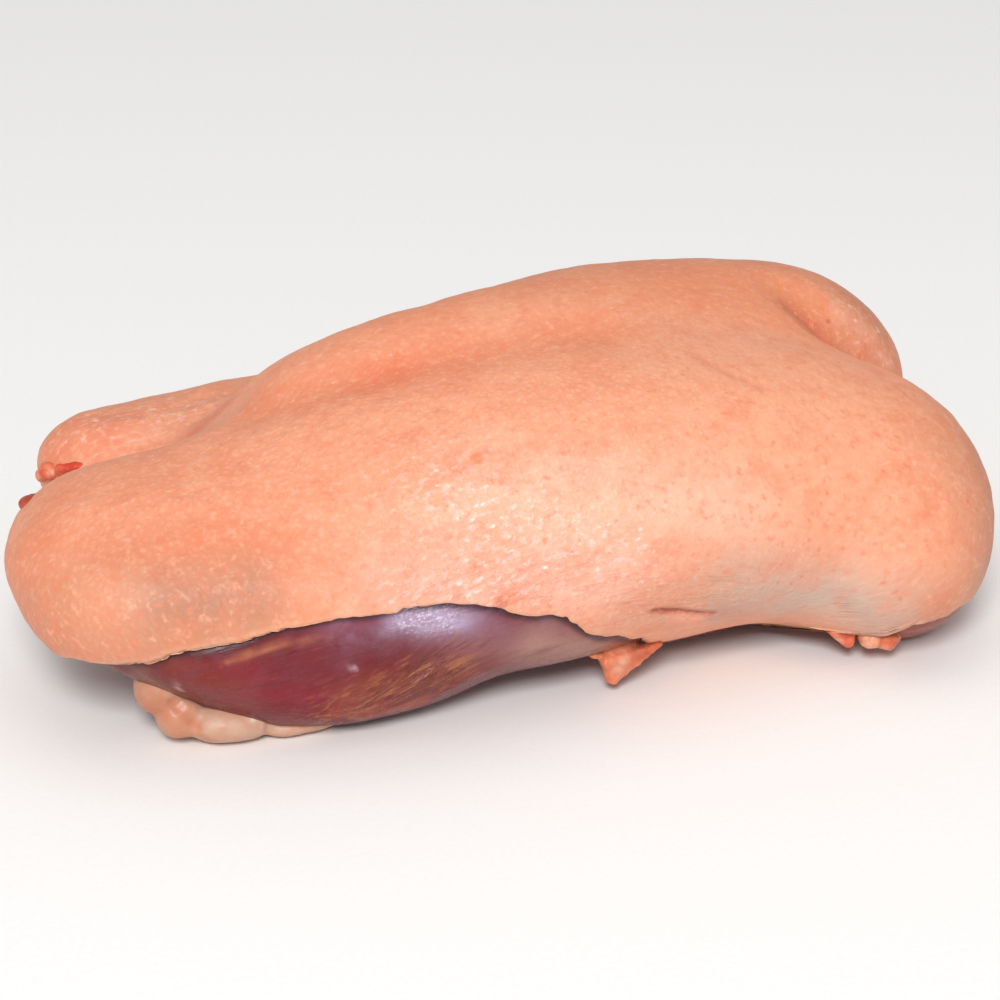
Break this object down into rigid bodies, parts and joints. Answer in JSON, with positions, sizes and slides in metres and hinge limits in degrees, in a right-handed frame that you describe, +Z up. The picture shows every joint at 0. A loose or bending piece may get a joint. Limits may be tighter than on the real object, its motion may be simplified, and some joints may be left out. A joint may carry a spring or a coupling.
{
  "type": "bone-in goose breast",
  "caption": "Raw bone-in goose breast with its skin on, lying skin side up on its open rib cavity, with bare flank muscle and trimmings of fat along the cut edge.",
  "frame": {"origin": "middle of the footprint, on the surface that the breast lies on", "axes": "+X towards the neck end, +Y towards the side away from the bare flank muscle, +Z up"},
  "size_m": [0.2569, 0.1404, 0.0856],
  "materials": {
    "skin": "moist plucked skin with fine feather pimples",
    "meat": "wet dark red muscle under a thin silver membrane",
    "bone": "moist pale bone",
    "pale_fat": "smooth pale fat and skin",
    "raw_fat": "wet orange fat",
    "raw_flesh": "wet red flesh"
  },
  "bodies": {
    "root": {"skin": "skin", "breast_meat": "meat", "breastbone": "bone", "flank_fat": "pale_fat", "fat_tag": "raw_fat", "neck_tag_a": "raw_fat", "neck_tag_b": "raw_fat", "tail_flesh": "raw_flesh", "tail_scrap": "raw_flesh"}
  },
  "joints": []
}
